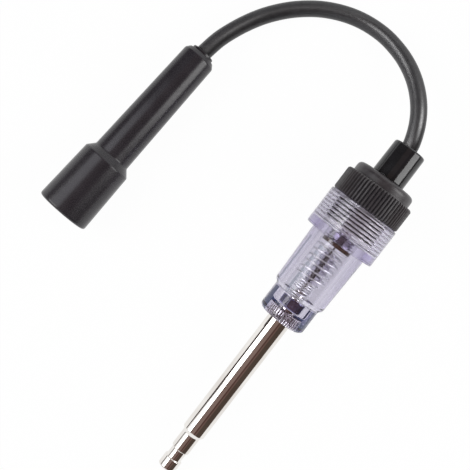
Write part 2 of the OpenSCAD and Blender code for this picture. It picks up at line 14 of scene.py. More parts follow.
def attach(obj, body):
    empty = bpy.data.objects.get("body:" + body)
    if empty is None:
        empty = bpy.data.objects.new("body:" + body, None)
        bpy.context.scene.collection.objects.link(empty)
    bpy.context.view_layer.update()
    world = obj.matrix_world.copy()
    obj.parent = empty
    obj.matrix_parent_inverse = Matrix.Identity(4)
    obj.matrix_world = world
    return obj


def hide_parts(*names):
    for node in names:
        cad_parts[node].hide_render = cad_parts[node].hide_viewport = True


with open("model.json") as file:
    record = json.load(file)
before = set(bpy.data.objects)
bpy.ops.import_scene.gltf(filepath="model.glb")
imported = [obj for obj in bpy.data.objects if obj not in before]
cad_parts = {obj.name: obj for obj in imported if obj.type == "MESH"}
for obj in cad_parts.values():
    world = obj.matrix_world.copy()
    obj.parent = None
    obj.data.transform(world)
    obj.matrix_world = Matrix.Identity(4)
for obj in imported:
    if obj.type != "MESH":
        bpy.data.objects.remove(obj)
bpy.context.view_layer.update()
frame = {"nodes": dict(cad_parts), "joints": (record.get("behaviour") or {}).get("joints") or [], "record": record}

bl_info = {
    "name": "Spark tester looks",
    "version": (1, 0, 0),
    "blender": (4, 5, 0),
    "location": "View3D > Sidebar > Spark tester",
    "description": "Builds the visible pieces, finishes and studio of an inline spark tester",
    "category": "Object",
}

MM = 0.001
TINY = 1e-9


# Frame

def axis_frame(point, axis):
    """Matrix with its Z along an axis and its X towards the floor."""
    z = Vector(axis).normalized()
    down = Vector((0, 0, -1))
    x = (down - z * down.dot(z)).normalized()
    return Matrix.Translation(point) @ Matrix((x, z.cross(x), z)).transposed().to_4x4()


def span(node, place):
    """Lowest and highest station of a CAD node along an axis."""
    to_axis = place.inverted()
    stations = [(to_axis @ v.co).z for v in frame["nodes"][node].data.vertices]
    return min(stations), max(stations)


def from_end(node, point, axis):
    """Axis frame that starts at the first end of a CAD node."""
    place = axis_frame(point, axis)
    return place @ Matrix.Translation((0, 0, span(node, place)[0]))


JOINTS = {joint["name"]: joint for joint in frame["joints"]}
MOUNTS = {mount["name"]: mount for mount in frame["record"]["mounts"]}
TESTER = from_end("terminal_rod", JOINTS["housing_turn"]["pos_m"], -Vector(JOINTS["housing_turn"]["axis"]))
BOOT = from_end("boot_shell", MOUNTS["plug_bore"]["pos_m"], -Vector(MOUNTS["plug_bore"]["axis"]))


# Outlines and meshes

# Steps round an eased corner, how far from a corner its held point is, and the shortest run that has one
EASE_STEPS = 6
HOLD = 0.15 * MM
LONG_RUN = 4 * HOLD
# Angle between faces that makes a crease, and faces round a turned piece
CREASE = math.radians(35)
SEGMENTS = 96


def eased(corners, closed):
    """Points of an outline. A corner is (station, radius, ease): its curve starts that far from it."""
    points = []
    for i, (station, radius, ease) in enumerate(corners):
        corner = Vector((station, radius))
        ends = not closed and i in (0, len(corners) - 1)
        if ends or ease == 0:
            points.append(corner)
            continue
        sides = [Vector(corners[j][:2]) - corner for j in (i - 1, (i + 1) % len(corners))]
        start, end = [corner + side.normalized() * min(ease, side.length / 2) for side in sides]
        for step in range(EASE_STEPS + 1):
            t = step / EASE_STEPS
            points.append(start.lerp(corner, t).lerp(corner.lerp(end, t), t))
    return points


def held(points, closed):
    """The outline with a point close to each end of its long straight runs, so that shading stays crisp."""
    out = []
    runs = zip(points, points[1:] + points[:1]) if closed else zip(points, points[1:])
    for a, b in runs:
        out.append(a)
        run = b - a
        if run.length > LONG_RUN:
            step = run.normalized() * HOLD
            out += [a + step, b - step]
    return out if closed else out + [points[-1]]


def turned(name, corners, place, segments=SEGMENTS, section=None, closed=True):
    """Piece turned round an axis. section(angle, station, radius) may cut the radius back, as flats do."""
    verts, rings = [], []
    for station, radius in held(eased(corners, closed), closed):
        first = len(verts)
        count = segments if radius > TINY else 1
        for k in range(count):
            angle = 2 * math.pi * k / segments
            reach = section(angle, station, radius) if section else radius
            verts.append(place @ Vector((reach * math.cos(angle), reach * math.sin(angle), station)))
        rings.append([first + k % count for k in range(segments)])
    faces = []
    for low, high in zip(rings, rings[1:] + rings[:1] if closed else rings[1:]):
        for k in range(segments):
            n = (k + 1) % segments
            corner_loop = [low[k], low[n], high[n], high[k]]
            faces.append(list(dict.fromkeys(corner_loop)))
    return piece(name, verts, faces)


def swept(name, path, radius, sides):
    """Round wire along a path, closed at both ends."""
    verts, faces = [], []
    side = None
    for i, p in enumerate(path):
        along = (path[min(i + 1, len(path) - 1)] - path[max(i - 1, 0)]).normalized()
        side = along.orthogonal() if side is None else side
        side = (side - along * side.dot(along)).normalized()
        up = along.cross(side)
        for k in range(sides):
            angle = 2 * math.pi * k / sides
            verts.append(p + radius * (math.cos(angle) * side + math.sin(angle) * up))
    for i in range(len(path) - 1):
        for k in range(sides):
            a, b = i * sides + k, i * sides + (k + 1) % sides
            faces.append([a, b, b + sides, a + sides])
    last = (len(path) - 1) * sides
    faces.append(list(range(sides))[::-1])
    faces.append(list(range(last, last + sides)))
    return piece(name, verts, faces)


def piece(name, verts, faces):
    """Mesh object in the scene, shaded smooth with crisp creases."""
    mesh = bpy.data.meshes.new(name)
    mesh.from_pydata(verts, [], [f for f in faces if len(f) > 2])
    mesh.validate()
    outward(mesh)
    mesh.shade_smooth()
    mesh.set_sharp_from_angle(angle=CREASE)
    obj = bpy.data.objects.new(name, mesh)
    bpy.context.scene.collection.objects.link(obj)
    return obj


def outward(mesh):
    """Turn the faces of a closed mesh to its outside."""
    mesh.calc_loop_triangles()
    volume = 0
    for triangle in mesh.loop_triangles:
        a, b, c = [mesh.vertices[i].co for i in triangle.vertices]
        volume += a.dot(b.cross(c))
    if volume < 0:
        mesh.flip_normals()


def place_on(obj, body, slot, material, *nodes):
    """Hand a piece to the frame: its body, its finish and the CAD nodes that it stands for. Its slot is not used.
    """
    obj.data.materials.append(material)
    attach(obj, body)
    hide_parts(*nodes)


def dress(material, *nodes):
    """Give CAD nodes a finish."""
    for node in nodes:
        for slot in frame["nodes"][node].material_slots:
            slot.material = material


def refinish(obj, place, material, stations, radii):
    """Give another finish to the faces between two stations along an axis and between two radii from it."""
    obj.data.materials.append(material)
    to_axis = place.inverted()
    for face in obj.data.polygons:
        centre = to_axis @ face.center
        radius = math.hypot(centre.x, centre.y)
        if stations[0] < centre.z < stations[1] and radii[0] < radius < radii[1]:
            face.material_index = len(obj.data.materials) - 1


# Share of a rib's pitch that its crown takes, and faces across one rib, on the rod's seat and the cap's grip
SEAT_CROWN, SEAT_RIB_FACES = 0.3, 6
GRIP_CROWN, GRIP_RIB_FACES = 0.25, 8


def ribs(crest, depth, count, crown):
    """Section of a straight knurl: round crests that keep a share of each pitch, and round roots."""
    def section(angle, station, radius):
        across = abs(2 * (angle * count / (2 * math.pi) % 1) - 1)
        t = min(max((across - crown) / (1 - crown), 0), 1)
        return min(radius, crest - depth * t * t * (3 - 2 * t))
    return section


def flats(across_flats):
    """Section of a hexagon with a corner at angle nought."""
    def section(angle, station, radius):
        return min(radius, across_flats / 2 / math.cos(angle % (math.pi / 3) - math.pi / 6))
    return section


# Finishes

def linear(hex_colour):
    """sRGB hex value as linear red, green, blue and a full alpha."""
    channels = [int(hex_colour[i:i + 2], 16) / 255 for i in (1, 3, 5)]
    return [c / 12.92 if c <= 0.04045 else ((c + 0.055) / 1.055) ** 2.4 for c in channels] + [1]


def add(tree, kind, values=None, links=None, **settings):
    """Add a node with its settings, its socket values and the links into it."""
    node = tree.nodes.new(kind)
    for name, value in settings.items():
        setattr(node, name, value)
    for socket, value in (values or {}).items():
        node.inputs[socket].default_value = value
    for socket, source in (links or {}).items():
        tree.links.new(source, node.inputs[socket])
    return node


WHITE = linear("#FFFFFF")
# Colour sockets of the mix node
MIX_A, MIX_B, MIX_OUT = 6, 7, 2
# Levels of the noise between which clouds and grain change
CLOUD_SPAN = {"From Min": 0.35, "From Max": 0.65}
GRAIN_SPAN = {"From Min": 0.3, "From Max": 0.7}
METAL = {"Metallic": 1}


def finish(name, values, clouds, grit, depth, gloss):
    """New material of one surface shader, with the values that are the same all over.

    clouds are (size, colour, colour that it drifts to), grit is the size of the grain and depth that of its
    bump, all in millimetres. The grain's roughness varies between the two gloss values.
    """
    material = bpy.data.materials.new(name)
    material.use_nodes = True
    tree = material.node_tree
    surface = tree.nodes["Principled BSDF"]
    for socket, value in values.items():
        surface.inputs[socket].default_value = value
    clouded(tree, surface, *clouds)
    grained(tree, surface, grit, depth, gloss)
    return material


def clouded(tree, surface, size, first, second):
    """Soft drift between two colours, in clouds of that size."""
    place = add(tree, "ShaderNodeTexCoord")
    scale = {"Scale": 1 / (size * MM), "Detail": 4}
    noise = add(tree, "ShaderNodeTexNoise", scale, {"Vector": place.outputs["Object"]})
    spread = add(tree, "ShaderNodeMapRange", CLOUD_SPAN, {"Value": noise.outputs["Fac"]})
    mix = add(
        tree, "ShaderNodeMix", {MIX_A: first, MIX_B: second}, {"Factor": spread.outputs["Result"]},
        data_type="RGBA",
    )
    tree.links.new(mix.outputs[MIX_OUT], surface.inputs["Base Color"])


def grained(tree, surface, grit, depth, gloss):
    """Uneven grain: a bump, and roughness that varies."""
    place = add(tree, "ShaderNodeTexCoord")
    scale = {"Scale": 1 / (grit * MM), "Detail": 3}
    noise = add(tree, "ShaderNodeTexNoise", scale, {"Vector": place.outputs["Object"]})
    bump = add(tree, "ShaderNodeBump", {"Distance": depth * MM}, {"Height": noise.outputs["Fac"]})
    least, most = gloss
    levels = {**GRAIN_SPAN, "To Min": least, "To Max": most}
    rough = add(tree, "ShaderNodeMapRange", levels, {"Value": noise.outputs["Fac"]})
    tree.links.new(bump.outputs["Normal"], surface.inputs["Normal"])
    tree.links.new(rough.outputs["Result"], surface.inputs["Roughness"])


def polished_chrome_plate(colours):
    """Chromium plate on a turned rod: a mirror with a faint trace of turning marks."""
    # The marks are finer than this: they are drawn as coarse as they need to show
    clouds = (9, colours.chrome, colours.chrome_dull)
    return finish("polished_chrome_plate", METAL, clouds, grit=0.5, depth=0.0005, gloss=(0.03, 0.07))


def satin_chrome_knurl(colours):
    """Chromium plate over a rolled knurl: the same metal, softened by the rough skin of the rolled ribs."""
    clouds = (1.2, colours.knurl, colours.knurl_dull)
    return finish("satin_chrome_knurl", METAL, clouds, grit=0.15, depth=0.006, gloss=(0.62, 0.75))


def painted_shade_knurl_roots(colours):
    """Roots of the rolled knurl: dark, soft metal, a painted shade in the grooves between the ribs."""
    clouds = (0.8, colours.root, colours.root_shade_pale)
    return finish("painted_shade_knurl_roots", METAL, clouds, grit=0.15, depth=0.006, gloss=(0.35, 0.5))


# How the clear plastic bends the light, and how much of it its skin sends back
PLASTIC = {"IOR": 1.49, "Specular IOR Level": 0.15}
# Absorption of the clear plastic per metre, where its body colour has none of a channel
PLASTIC_DENSITY = 55


def clear_polystyrene(colours):
    """Injection moulded clear polystyrene with a violet cast: bright, clear, with faint flow waves."""
    clouds = (6, colours.plastic, colours.plastic_deep)
    material = finish(
        "clear_polystyrene", {"Transmission Weight": 1, **PLASTIC}, clouds,
        grit=3, depth=0.004, gloss=(0.0, 0.02),
    )
    tree = material.node_tree
    absorption = {"Color": colours.plastic_body, "Density": PLASTIC_DENSITY}
    body = add(tree, "ShaderNodeVolumeAbsorption", absorption)
    tree.links.new(body.outputs[0], tree.nodes["Material Output"].inputs["Volume"])
    return material


def moulded_thread(colours):
    """The same plastic on the thread, which was unscrewed from its core: pale, scuffed, hazy flanks."""
    clouds = (2, colours.thread, colours.thread_scuff)
    return finish(
        "scuffed_polystyrene_thread", {"Transmission Weight": 0.8, **PLASTIC}, clouds,
        grit=0.3, depth=0.004, gloss=(0.3, 0.4),
    )


def pressed_seat(colours):
    """The same plastic where the knurl was pressed in: see-through, but dulled like ground glass."""
    clouds = (2, colours.plastic, colours.plastic_deep)
    return finish(
        "pressed_polystyrene_seat", {"Transmission Weight": 1, **PLASTIC}, clouds,
        grit=0.3, depth=0.004, gloss=(0.2, 0.3),
    )


def blue_passivated_zinc(colours):
    """Zinc plate with a blue passivate on machined steel: bluish grey metal with a dull bloom."""
    clouds = (1.5, colours.zinc, colours.zinc_dull)
    return finish("blue_passivated_zinc", METAL, clouds, grit=0.2, depth=0.004, gloss=(0.1, 0.18))


def zinc_plated_strip(colours):
    """Spring steel strip, pressed to shape and zinc plated: plain grey metal with a dull bloom."""
    clouds = (1.5, colours.clip, colours.clip_dull)
    return finish("zinc_plated_strip", METAL, clouds, grit=0.2, depth=0.004, gloss=(0.2, 0.3))


def bright_spring_wire(colours):
    """Drawn spring steel, bright: sharp small glints with a soft drawn skin."""
    clouds = (2, colours.wire, colours.wire_dull)
    return finish("bright_spring_wire", METAL, clouds, grit=0.1, depth=0.002, gloss=(0.3, 0.42))


def filmed_lamp_glass(colours):
    """Soda glass tube of the lamp with a faint film inside from use: clear, with a soft grey cast."""
    clouds = (4, colours.glass, colours.glass_film)
    return finish(
        "filmed_lamp_glass", {"Transmission Weight": 0.97, "IOR": 1.08}, clouds,
        grit=2, depth=0.004, gloss=(0.06, 0.12),
    )


def dull_nickel(colours):
    """Nickel electrode, darkened by use: a soft grey metal."""
    clouds = (0.8, colours.nickel, colours.nickel_dark)
    return finish("dull_nickel", METAL, clouds, grit=0.15, depth=0.006, gloss=(0.3, 0.5))


def vulcanised_fibre(colours):
    """Pressed vulcanised fibre, varnished: dark brown, glossy, with short flecks."""
    clouds = (0.6, colours.fibre, colours.fibre_fleck)
    return finish(
        "vulcanised_fibre", {"IOR": 1.5, "Specular IOR Level": 1}, clouds,
        grit=0.25, depth=0.008, gloss=(0.12, 0.22),
    )


def nickel_plated_brass(colours):
    """Nickel plate on turned brass: pale warm grey metal with a soft turned sheen."""
    clouds = (1.5, colours.stem, colours.stem_dull)
    return finish("nickel_plated_brass", METAL, clouds, grit=0.2, depth=0.004, gloss=(0.18, 0.28))


def satin_phenolic(colours):
    """Compression moulded black phenolic: charcoal, satin, with a fine filler speckle."""
    clouds = (1.2, colours.phenolic, colours.phenolic_filler)
    return finish("satin_phenolic", {"IOR": 1.55}, clouds, grit=0.3, depth=0.012, gloss=(0.3, 0.42))


def dull_phenolic_thread(colours):
    """The same moulding on the threaded spigot: black, without a sheen, and darker than the cap as a painted shade
    inside the collar.
    """
    clouds = (1.2, colours.spigot_shade_black, colours.phenolic)
    return finish(
        "dull_phenolic_thread", {"IOR": 1.55, "Specular IOR Level": 0.1}, clouds,
        grit=0.3, depth=0.012, gloss=(0.6, 0.75),
    )


def gloss_vinyl(colours):
    """Dip moulded black vinyl: deep black with a wet gloss and a slightly wavy skin."""
    clouds = (3, colours.vinyl, colours.vinyl_bloom)
    return finish("gloss_vinyl", {"IOR": 1.53}, clouds, grit=2.5, depth=0.03, gloss=(0.08, 0.16))


def satin_lead_jacket(colours):
    """Extruded synthetic rubber jacket: dark grey, satin, with a trace of talc."""
    clouds = (2.5, colours.jacket, colours.jacket_talc)
    return finish("satin_lead_jacket", {"IOR": 1.5}, clouds, grit=0.4, depth=0.003, gloss=(0.3, 0.4))


def tinned_copper(colours):
    """Tinned copper strand: grey metal with copper showing through."""
    clouds = (0.5, colours.tin, colours.copper)
    return finish("tinned_copper", METAL, clouds, grit=0.2, depth=0.01, gloss=(0.3, 0.45))


def satin_moulded_rubber(colours):
    """Moulded rubber of the boot: black, satin, with a fine eroded mould grain and a greyish bloom."""
    # The mould's grain is finer than this: it is drawn as coarse as it needs to show
    clouds = (5, colours.rubber, colours.rubber_bloom)
    return finish("satin_moulded_rubber", {"IOR": 1.5}, clouds, grit=0.35, depth=0.008, gloss=(0.22, 0.32))


# Settings that a user would change

def length(name, description, millimetres):
    """A length property, given in millimetres."""
    return FloatProperty(
        name=name, description=description, default=millimetres * MM, min=0, precision=5,
        unit="LENGTH", subtype="DISTANCE",
    )


def turn(name, description, degrees):
    """An angle property, given in degrees."""
    return FloatProperty(
        name=name, description=description, default=math.radians(degrees), unit="ROTATION", subtype="ANGLE",
    )


def colour(name, description, hex_colour):
    """A colour property, given as an sRGB hex value."""
    return FloatVectorProperty(
        name=name, description=description, default=linear(hex_colour), size=4, min=0, max=1,
        subtype="COLOR",
    )


def count(name, description, number):
    """A count property."""
    return IntProperty(name=name, description=description, default=number, min=1)


class TesterColours(bpy.types.PropertyGroup):
    """Colours of all the finishes, each with the one that it drifts to."""
    chrome: colour("Chrome", "Polished plate", "#EFECE8")
    chrome_dull: colour("Chrome, dull", "Plate where it is hazed", "#E2DDD8")
    knurl: colour("Knurl", "Rolled ribs of the seat", "#9A8A94")
    knurl_dull: colour("Knurl, dull", "Ribs where the plate is thin", "#7A6A74")
    # The knurl root colours are a painted shade in the grooves between the ribs
    root: colour("Knurl root", "Dark roots of the knurl", "#3A3038")
    root_shade_pale: colour("Knurl root, plate", "Trace of plate in the roots", "#5A4E56")
    plastic: colour("Clear plastic", "Skin of the clear moulding", "#F9F9FA")
    plastic_deep: colour("Clear plastic, flow", "Skin where the moulding flowed", "#F4F4F6")
    plastic_body: colour("Clear plastic, body", "What the body of the moulding lets through", "#A392CA")
    thread: colour("Thread", "Scuffed flanks of the thread", "#D8D2DC")
    thread_scuff: colour("Thread, scuff", "Whiter scuffs on the flanks", "#E6E2EA")
    zinc: colour("Zinc", "Plating on the nut", "#BAB6DC")
    zinc_dull: colour("Zinc, dull", "Bloom on the nut's plating", "#9E9AC4")
    clip: colour("Clip", "Plating on the clip", "#C6C6CA")
    clip_dull: colour("Clip, dull", "Bloom on the clip's plating", "#A4A4A9")
    wire: colour("Spring wire", "Bright drawn steel", "#F8F8FA")
    wire_dull: colour("Spring wire, dull", "Drawn skin of the wire", "#E6E6EA")
    glass: colour("Lamp glass", "Clear tube", "#EFEDF2")
    glass_film: colour("Lamp glass, film", "Grey film in the tube", "#DFDDE4")
    nickel: colour("Nickel", "Electrode", "#8C8784")
    nickel_dark: colour("Nickel, dark", "Electrode where it is burnt", "#4E4A48")
    fibre: colour("Fibre", "Pressed washer", "#33241E")
    fibre_fleck: colour("Fibre, fleck", "Flecks in the washer", "#4A342A")
    stem: colour("Stem", "Plated contact stem", "#BAB4C4")
    stem_dull: colour("Stem, dull", "Stem where the plate is thin", "#9C96A6")
    # The spigot colour is darker than the cap's own black: painted shade inside the collar
    spigot_shade_black: colour("Spigot", "Worn black thread of the cap", "#1C191D")
    phenolic: colour("Cap", "Black moulding", "#312D30")
    phenolic_filler: colour("Cap, filler", "Filler speckle in the moulding", "#3D393C")
    vinyl: colour("Sleeve", "Deep black vinyl", "#1B1B1D")
    vinyl_bloom: colour("Sleeve, bloom", "Greyer patches of the vinyl", "#212124")
    jacket: colour("Lead", "Rubber jacket", "#2E2D30")
    jacket_talc: colour("Lead, talc", "Trace of talc on the jacket", "#38373A")
    tin: colour("Tin", "Tinned strand", "#B9B2AA")
    copper: colour("Copper", "Copper showing through the tin", "#B0765A")
    rubber: colour("Boot", "Moulded rubber", "#252227")
    rubber_bloom: colour("Boot, bloom", "Greyish bloom on the rubber", "#2C292E")
    floor: colour("Floor", "Pale studio floor", "#FBFBFB")


class RodSizes(bpy.types.PropertyGroup):
    """Terminal rod, from its tip."""
    head_d: length("Head diameter", "Push-on head at the tip", 6.35)
    head_l: length("Head length", "Length of the head", 4.1)
    groove_d: length("Groove diameter", "Groove behind the head", 5.3)
    groove_l: length("Groove length", "Length of the groove", 3.7)
    neck_d: length("Neck diameter", "Neck between groove and rod", 6.4)
    neck_l: length("Neck length", "Length of the neck", 6.4)
    step_l: length("Step length", "Length of the cone from neck to rod", 1.1)
    rod_d: length("Rod diameter", "Bright rod", 8)
    seat_d: length("Seat diameter", "Ribbed seat in the housing, over its ribs", 7.9)
    seat_l: length("Seat length", "Length of the ribbed seat", 3.7)
    seat_groove: length("Seat groove", "Depth between the ribs of the seat", 0.35)
    seat_ribs: count("Seat ribs", "Number of ribs round the seat", 32)
    seat_in: length("Seat depth", "Bare rod inside the housing before the ribs start", 0.3)
    stud_d: length("Stud diameter", "Stud that carries the nut", 4)
    nose: length("Nose ease", "Rounding of the tip", 0.6)
    edge: length("Edge ease", "Rounding of the turned edges", 0.25)


class HousingSizes(bpy.types.PropertyGroup):
    """Clear housing."""
    socket_d: length("Socket diameter", "Lower socket, round the nut", 16.48)
    socket_l: length("Socket length", "Length of the socket", 9.25)
    slope_l: length("Slope length", "Slope from socket to barrel", 1.1)
    chamfer: length("Socket chamfer", "Chamfer on the lower edge", 1)
    barrel_low_d: length("Barrel diameter, low", "Barrel above the socket", 18.7)
    barrel_top_d: length("Barrel diameter, top", "Barrel below the collar", 19.8)
    collar_d: length("Collar diameter", "Threaded collar", 25)
    rim_l: length("Rim length", "Smooth lower rim of the collar", 2.9)
    bore_d: length("Bore diameter", "Bore that holds spring and lamp", 11.8)
    pocket_d: length("Pocket diameter", "Pocket round the nut", 8.78)
    web_t: length("Web thickness", "Web under the nut", 0.8)
    thread_d: length("Thread crest diameter", "Inside thread over its crests", 18.6)
    thread_depth: length("Thread depth", "Depth of the inside thread", 0.4)
    thread_pitch: length("Thread pitch", "Pitch of the inside thread", 1.25)
    thread_turns: count("Thread turns", "Ridges of the inside thread", 8)
    moulded: length("Moulded ease", "Rounding of the moulded edges", 0.5)
    seat_room: length("Seat room", "Air between the rod's seat and the plastic", 0.1)
    seat_rib: length("Seat rib", "Height of the ribs that the seat pressed into the plastic", 0.2)
    grip_in: length("Moulded-in depth", "How far the plastic closes in round the stud", 0.5)


class NutSizes(bpy.types.PropertyGroup):
    """Hexagon nut on the stud."""
    across: length("Across flats", "Width across the flats", 7)
    chamfer: length("Chamfer", "Chamfer on the corners", 0.45)
    turned_by: turn("Turn", "Angle of the upper corner from straight up, towards the boot", 16)


class SpringSizes(bpy.types.PropertyGroup):
    """Stepped spring round the lamp."""
    wire_d: length("Wire diameter", "Spring wire", 0.6)
    narrow_d: length("Narrow diameter", "Outside of the lower curls", 6.4)
    wide_d: length("Wide diameter", "Outside of the upper curls", 10.8)
    stud_pitch: length("Stud pitch", "Height of the first curl, round the stud", 2.2)
    narrow_pitch: length("Narrow pitch", "Height of a lower curl", 0.85)
    narrow_curls: count("Narrow curls", "Number of lower curls, with the first", 6)
    wide_curls: count("Wide curls", "Number of upper curls", 6)
    lean: length("Lean", "How far the spring lies off the axis in its play, towards the boot", 0.45)
    first_end: turn("First end", "Where round the axis the wire starts, from below", -97)
    wire_sides: count("Wire sides", "Sides of the drawn wire", 10)
    curl_steps: count("Curl steps", "Points round one curl", 40)


class CapSizes(bpy.types.PropertyGroup):
    """Knurled cap with its threaded spigot."""
    grip_d: length("Grip diameter", "Over the ribs of the grip", 24.4)
    grip_l: length("Grip length", "Length of the grip", 8.2)
    grip_groove: length("Grip groove", "Depth between the ribs", 0.6)
    grip_ribs: count("Grip ribs", "Number of ribs round the grip", 64)
    grip_end: length("Rib end", "Slope at the ends of the ribs", 0.5)
    shoulder_d: length("Shoulder diameter", "Smooth shoulder above the grip", 21)
    shoulder_round: length("Shoulder round", "Rounding of the shoulder", 2.4)
    spigot_d: length("Spigot diameter", "Threaded spigot over its crests", 18.5)
    stem_bore_d: length("Stem bore", "Bore for the contact stem", 4.08)
    lead_bore_d: length("Lead bore", "Bore for the lead", 5.6)
    tail_bore_d: length("Sleeve bore", "Bore for the sleeve's tail", 9.48)


class SleeveSizes(bpy.types.PropertyGroup):
    """Glossy sleeve on the cap."""
    low_d: length("Lower diameter", "Sleeve at the cap", 11.5)
    top_d: length("Mouth diameter", "Sleeve at its mouth", 11.2)
    tail_d: length("Tail diameter", "Tail inside the cap", 9.4)
    tail_l: length("Tail length", "Length of the tail", 5)
    mouth_d: length("Bell mouth", "Bell mouth round the lead", 8)
    mouth_l: length("Bell depth", "Depth of the bell mouth", 6)
    mouth_round: length("Mouth round", "Rounding of the outer mouth", 1)


class LeadSizes(bpy.types.PropertyGroup):
    """Free run of the lead."""
    lead_d: length("Lead diameter", "Outside of the jacket", 5.4)
    sides: count("Lead sides", "Sides of the drawn tube", 40)
    steps: count("Lead steps", "Points between two points of the route", 6)


class BootSizes(bpy.types.PropertyGroup):
    """Plug boot and its bush."""
    skirt_d: length("Skirt diameter", "Skirt at its mouth", 18.2)
    skirt_top_d: length("Skirt top diameter", "Skirt at its upper end", 17)
    skirt_l: length("Skirt length", "Length of the skirt", 21.6)
    slope_l: length("Slope length", "Slope from skirt to neck", 2.4)
    neck_d: length("Neck diameter", "Neck above the slope", 12.89)
    neck_end_d: length("Neck end diameter", "Neck at its end", 11.45)
    neck_l: length("Neck length", "Length of the neck", 42.4)
    tip_d: length("Tip diameter", "End of the neck's chamfer", 9.4)
    plug_bore_d: length("Plug bore", "Bore for the plug", 10.8)
    plug_bore_l: length("Plug bore depth", "Depth of the plug bore", 22)
    clip_bore_d: length("Clip bore", "Bore round the clip", 8.19)
    clip_bore_l: length("Clip bore depth", "Depth of the clip bore", 13.1)
    lead_bore_d: length("Lead bore", "Bore for the lead", 5.6)
    bush_d: length("Bush diameter", "Bush inside the boot", 7.2)
    bush_flange_d: length("Bush flange", "Flange of the bush", 7.8)
    rim: length("Rim ease", "Rounding of the mouth's edge", 1)
    soft: length("Soft ease", "Rounding of the moulded edges", 0.35)


class StageSettings(bpy.types.PropertyGroup):
    """Camera and floor of the studio."""
    camera_x: FloatProperty(name="Camera X", description="Camera across", default=0.00987, unit="LENGTH")
    camera_y: FloatProperty(name="Camera Y", description="Camera along", default=-0.0089, unit="LENGTH")
    camera_h: length("Camera height", "Camera above the floor", 293)
    camera_roll: turn("Camera roll", "Turn of the picture about the view", -53)
    lens: FloatProperty(
        name="Lens", description="Focal length in millimetres", default=67.4, subtype="DISTANCE_CAMERA",
    )
    floor_w: length("Floor width", "Side of the floor", 8000)


# Studio and pieces

class PieceOperator:
    """What the operators share."""
    bl_options = {"REGISTER"}


# Studio, set round the tester's middle line, in metres: x along it, side as degrees from straight up towards
# the boot
STUDIO_LINE = (-0.0368, 0.012)
SENSOR_W = 36
CLIP_START = 0.01
FLOOR_AT = -0.05 * MM
# How much the floor glows to the camera, in mirrors and through clear stuff, and the level of the fill
FLOOR_GLOW = 0.97
FLOOR_GLOW_MIRRORED = 0.9
FLOOR_GLOW_THROUGH = 0.35
FILL = 0.36
# A softbox whose diffuse is false gives gloss alone
SOFTBOXES = [
    {"name": "boot_side_softbox", "x": -0.17, "side": 50, "distance": 0.5,
     "width": 0.32, "height": 0.37, "radiance": 4},
    {"name": "cap_side_softbox", "x": 0.2, "side": -55, "distance": 0.5,
     "width": 0.31, "height": 0.38, "radiance": 4.5},
    {"name": "lead_inner_softbox", "x": -0.035, "side": 42, "distance": 0.48,
     "width": 0.25, "height": 0.6, "radiance": 8.2, "diffuse": False},
    {"name": "lead_outer_softbox", "x": 0.45, "side": -23, "distance": 0.35,
     "width": 0.3, "height": 0.28, "radiance": 16, "diffuse": False},
]
# Far cards make an arched ceiling from one side to the other: name, first and last side, colour
CEILING_X = 1.5
CEILING_AT = 1.6
CEILING = [
    ("ceiling_card", 90, 22, "#4A4240"),
    ("top_card", 22, -11, "#86726C"),
    ("dark_card", -11, -25, "#56403B"),
    ("brown_card", -25, -37, "#6E5852"),
    ("wall_card", -37, -90, "#52463F"),
]
# A card is seen in mirrors and, unless through is false, through clear stuff. Its first and last rows are
# (side, x, x).
CARD_STEPS = 12
CARDS = [
    {"name": "bounce_card", "first": (60, -0.5, -0.13), "last": (80, -0.5, -0.22),
     "distance": 0.5, "hex_colour": "#FFFFFF"},
    {"name": "boot_card", "first": (40, -0.035, 0.045), "last": (69, -0.035, 0.045),
     "distance": 0.17, "hex_colour": "#F4F4FA", "level": 1.8, "through": False},
]
# Shade on the floor round the housing, as it shows in mirrors and through the plastic: stations, and sides
# towards the boot, in millimetres
SHADES = [
    {"name": "near_shade", "stations": (61, 71), "sides": (3, -4), "hex_colour": "#566078"},
    {"name": "far_shade", "stations": (61, 71), "sides": (-7, -14), "hex_colour": "#3C3F55"},
    {"name": "barrel_shade", "stations": (73, 91), "sides": (7.2, 1.8), "hex_colour": "#B8BEC2"},
]


def to_floor(point):
    """The point on the floor under a point, just clear of the paper."""
    return Vector((point.x, point.y, FLOOR_AT / 2))


def around(x, side, distance):
    """Point at a distance from the tester's middle line."""
    y, z = STUDIO_LINE
    turned_to = math.radians(side)
    return Vector((x, y + distance * math.sin(turned_to), z + distance * math.cos(turned_to)))


def sheet(name, verts, faces, material):
    """Thin sheet of the studio."""
    mesh = bpy.data.meshes.new(name)
    mesh.from_pydata(verts, [], faces)
    mesh.materials.append(material)
    obj = bpy.data.objects.new(name, mesh)
    bpy.context.scene.collection.objects.link(obj)
    return obj


def seen(tree, straight, mirrored, through):
    """Levels for what the camera sees straight, in mirrors and behind clear stuff, and nought elsewhere."""
    path = add(tree, "ShaderNodeLightPath")
    level = add(
        tree, "ShaderNodeMapRange", {"To Min": mirrored, "To Max": through},
        {"Value": path.outputs["Is Transmission Ray"]},
    )
    other = add(
        tree, "ShaderNodeMath", {}, {0: path.outputs["Is Glossy Ray"], 1: level.outputs["Result"]},
        operation="MULTIPLY",
    )
    camera = add(
        tree, "ShaderNodeMath", {1: straight}, {0: path.outputs["Is Camera Ray"]}, operation="MULTIPLY",
    )
    both = add(tree, "ShaderNodeMath", {}, {0: camera.outputs[0], 1: other.outputs[0]}, operation="MAXIMUM")
    return both.outputs[0]


